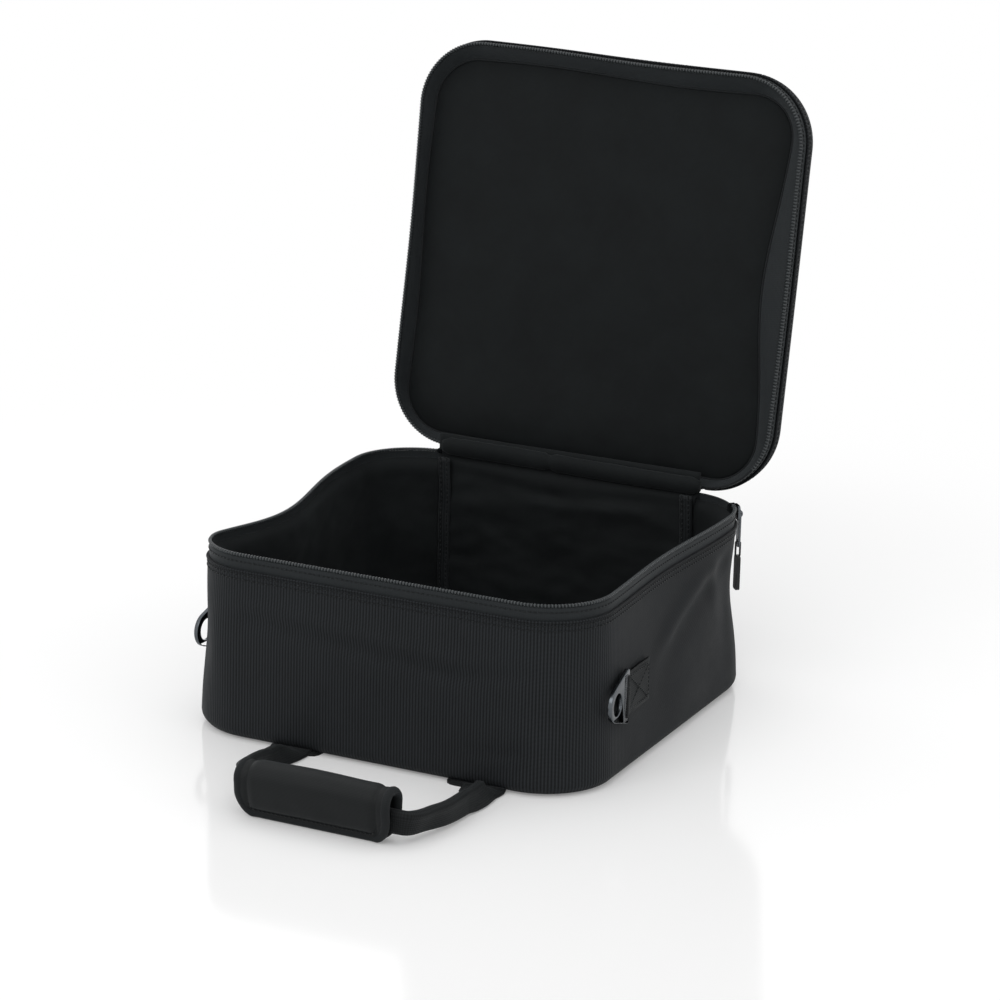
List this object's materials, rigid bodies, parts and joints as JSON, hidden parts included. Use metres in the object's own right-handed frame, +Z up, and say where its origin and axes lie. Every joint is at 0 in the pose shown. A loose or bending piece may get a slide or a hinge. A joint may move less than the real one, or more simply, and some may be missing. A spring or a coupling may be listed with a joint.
{
  "type": "miniature carry case",
  "caption": "Square padded soft case for gaming miniatures: zipped fold-back lid, webbing carry handle with wrap-round grip, shoulder-strap rings.",
  "frame": {"origin": "on the floor, under the middle of the tub's base", "axes": "+Z up, +X to the right, the front (handle side) faces -Y, the lid is hinged at the back (+Y)"},
  "size_m": [0.324, 0.5117, 0.4385],
  "materials": {
    "shell_cloth": "matte",
    "base_cloth": "matte",
    "lining_cloth": "matte",
    "foam": "matte",
    "board": "matte",
    "binding_tape": "matte",
    "zip_tape": "matte",
    "zip_coil": "satin",
    "zip_metal": "gloss",
    "pull_plastic": "satin",
    "webbing": "matte",
    "ring_metal": "gloss",
    "hook_and_loop": "matte"
  },
  "bodies": {
    "tub": {"back_foam": "foam", "base_board": "board", "base_panel": "base_cloth", "base_webbing_left": "webbing", "base_webbing_right": "webbing", "floor_lining": "lining_cloth", "floor_seam_binding": "binding_tape", "lining_back": "lining_cloth", "lining_band": "lining_cloth", "ring_tab_left": "webbing", "ring_tab_right": "webbing", "seam_binding_left": "binding_tape", "seam_binding_right": "binding_tape", "shell_back": "shell_cloth", "shell_band": "shell_cloth", "tub_zip_coil": "zip_coil", "tub_zip_tape": "zip_tape", "wall_foam": "foam", "zip_end_stop": "zip_metal", "zip_slider": "zip_metal"},
    "lid": {"hinge_roll": "lining_cloth", "lid_back_wall": "shell_cloth", "lid_band": "shell_cloth", "lid_foam_board": "foam", "lid_lining": "lining_cloth", "lid_lining_binding": "binding_tape", "lid_outer_panel": "shell_cloth", "lid_webbing_left": "webbing", "lid_webbing_right": "webbing", "lid_zip_coil": "zip_coil", "lid_zip_end_stop": "zip_metal", "lid_zip_tape": "zip_tape"},
    "front_handle": {"base_handle_webbing": "webbing", "grip_cover": "shell_cloth", "grip_padding": "foam", "grip_binding": "binding_tape", "grip_hook_patch": "hook_and_loop", "grip_loop_patch": "hook_and_loop"},
    "lid_handle": {"lid_handle_webbing": "webbing"},
    "ring_left": {"strap_ring_left": "ring_metal"},
    "ring_right": {"strap_ring_right": "ring_metal"},
    "zip_pull": {"pull_tab": "zip_metal", "pull_tag": "pull_plastic"}
  },
  "joints": [
    {"name": "lid_hinge", "type": "hinge", "parent": "tub", "child": "lid", "pos_m": [0, 0.1535, 0.1355], "axis": [-1, 0, 0], "range_deg": [-98, 80]},
    {"name": "front_handle_hinge", "type": "hinge", "parent": "tub", "child": "front_handle", "pos_m": [0, -0.1555, 0.0013], "axis": [-1, 0, 0], "range_deg": [0, 64]},
    {"name": "lid_handle_hinge", "type": "hinge", "parent": "lid", "child": "lid_handle", "pos_m": [0, 0.22718, 0.42052], "axis": [1, 0, 0], "range_deg": [-5, 170]},
    {"name": "ring_left_swing", "type": "hinge", "parent": "tub", "child": "ring_left", "pos_m": [-0.1582, -0.088, 0.059], "axis": [0, 0, -1], "range_deg": [0, 145]},
    {"name": "ring_right_swing", "type": "hinge", "parent": "tub", "child": "ring_right", "pos_m": [0.1582, -0.088, 0.059], "axis": [0, 0, 1], "range_deg": [0, 145]},
    {"name": "pull_swing", "type": "hinge", "parent": "tub", "child": "zip_pull", "pos_m": [0.14409, 0.1382, 0.1265], "axis": [0.6691, -0.7431, 0], "range_deg": [0, 120]}
  ]
}
